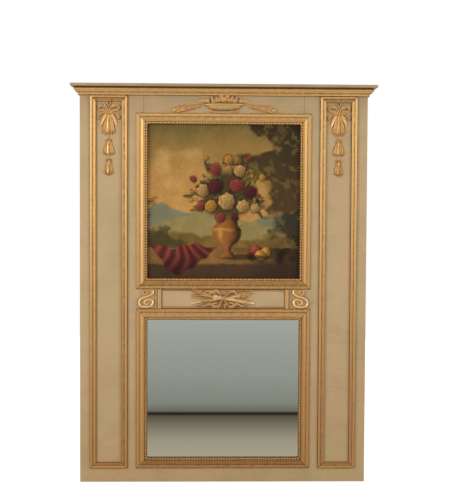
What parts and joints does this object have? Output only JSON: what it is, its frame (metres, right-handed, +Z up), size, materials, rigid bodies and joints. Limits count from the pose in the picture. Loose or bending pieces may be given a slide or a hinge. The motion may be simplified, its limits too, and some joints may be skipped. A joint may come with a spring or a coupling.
{
  "type": "trumeau mirror",
  "caption": "Tall wall mirror with a painting on canvas above the glass, carved gilt frames, two side panels with carved drops, a tablet, a cornice and hanging rings on the back.",
  "frame": {"origin": "middle of the bottom edge of the back, on the wall plane", "axes": "+Z up, +Y into the wall behind the mirror, +X to the viewer's right"},
  "size_m": [1.298, 0.082, 1.7],
  "materials": {
    "bare_wood": "bare softwood, darkened by age",
    "carved_wood": "beige paint with rubbed gilding over carved wood",
    "forged_steel": "dark forged steel",
    "gilded_wood": "worn orange-gold gilding over wood",
    "painted_canvas": "oil paint on canvas, aged varnish",
    "painted_wood": "aged beige paint over wood, worn",
    "silvered_glass": "flat silvered glass"
  },
  "bodies": {
    "mirror_case": {"bottom_back_batten": "bare_wood", "bottom_rail": "painted_wood", "cornice_cap": "painted_wood", "cornice_front": "gilded_wood", "cornice_left_return": "gilded_wood", "cornice_right_return": "gilded_wood", "flower_basket": "carved_wood", "hanger_nails": "forged_steel", "keeper_nails": "forged_steel", "left_back_batten": "bare_wood", "left_bow": "carved_wood", "left_drop": "carved_wood", "left_garland": "carved_wood", "left_hanger_strap": "forged_steel", "left_pilaster_bottom": "gilded_wood", "left_pilaster_inner": "gilded_wood", "left_pilaster_outer": "gilded_wood", "left_pilaster_top": "gilded_wood", "left_scroll": "carved_wood", "left_stile": "painted_wood", "middle_rail": "painted_wood", "mirror_backing_board": "bare_wood", "mirror_frame_bottom": "gilded_wood", "mirror_frame_left": "gilded_wood", "mirror_frame_right": "gilded_wood", "mirror_frame_top": "gilded_wood", "mirror_keepers": "bare_wood", "mirror_plate": "silvered_glass", "painting_canvas": "painted_canvas", "painting_frame_bottom": "gilded_wood", "painting_frame_left": "gilded_wood", "painting_frame_right": "gilded_wood", "painting_frame_top": "gilded_wood", "painting_keepers": "bare_wood", "right_back_batten": "bare_wood", "right_bow": "carved_wood", "right_drop": "carved_wood", "right_garland": "carved_wood", "right_hanger_strap": "forged_steel", "right_pilaster_bottom": "gilded_wood", "right_pilaster_inner": "gilded_wood", "right_pilaster_outer": "gilded_wood", "right_pilaster_top": "gilded_wood", "right_scroll": "carved_wood", "right_stile": "painted_wood", "stretcher_bottom": "bare_wood", "stretcher_keys": "bare_wood", "stretcher_left": "bare_wood", "stretcher_right": "bare_wood", "stretcher_top": "bare_wood", "tablet_bottom_edge": "gilded_wood", "tablet_left_end": "gilded_wood", "tablet_right_end": "gilded_wood", "tablet_top_edge": "gilded_wood", "top_back_batten": "bare_wood", "top_rail": "painted_wood", "trophy": "carved_wood"},
    "left_ring": {"left_hanger_ring": "forged_steel"},
    "right_ring": {"right_hanger_ring": "forged_steel"}
  },
  "joints": [
    {"name": "left_ring_hinge", "type": "hinge", "parent": "mirror_case", "child": "left_ring", "pos_m": [-0.48, -0.01845, 1.46], "axis": [1, 0, 0], "range_deg": [0, 175]},
    {"name": "right_ring_hinge", "type": "hinge", "parent": "mirror_case", "child": "right_ring", "pos_m": [0.48, -0.01845, 1.46], "axis": [1, 0, 0], "range_deg": [0, 175]}
  ]
}
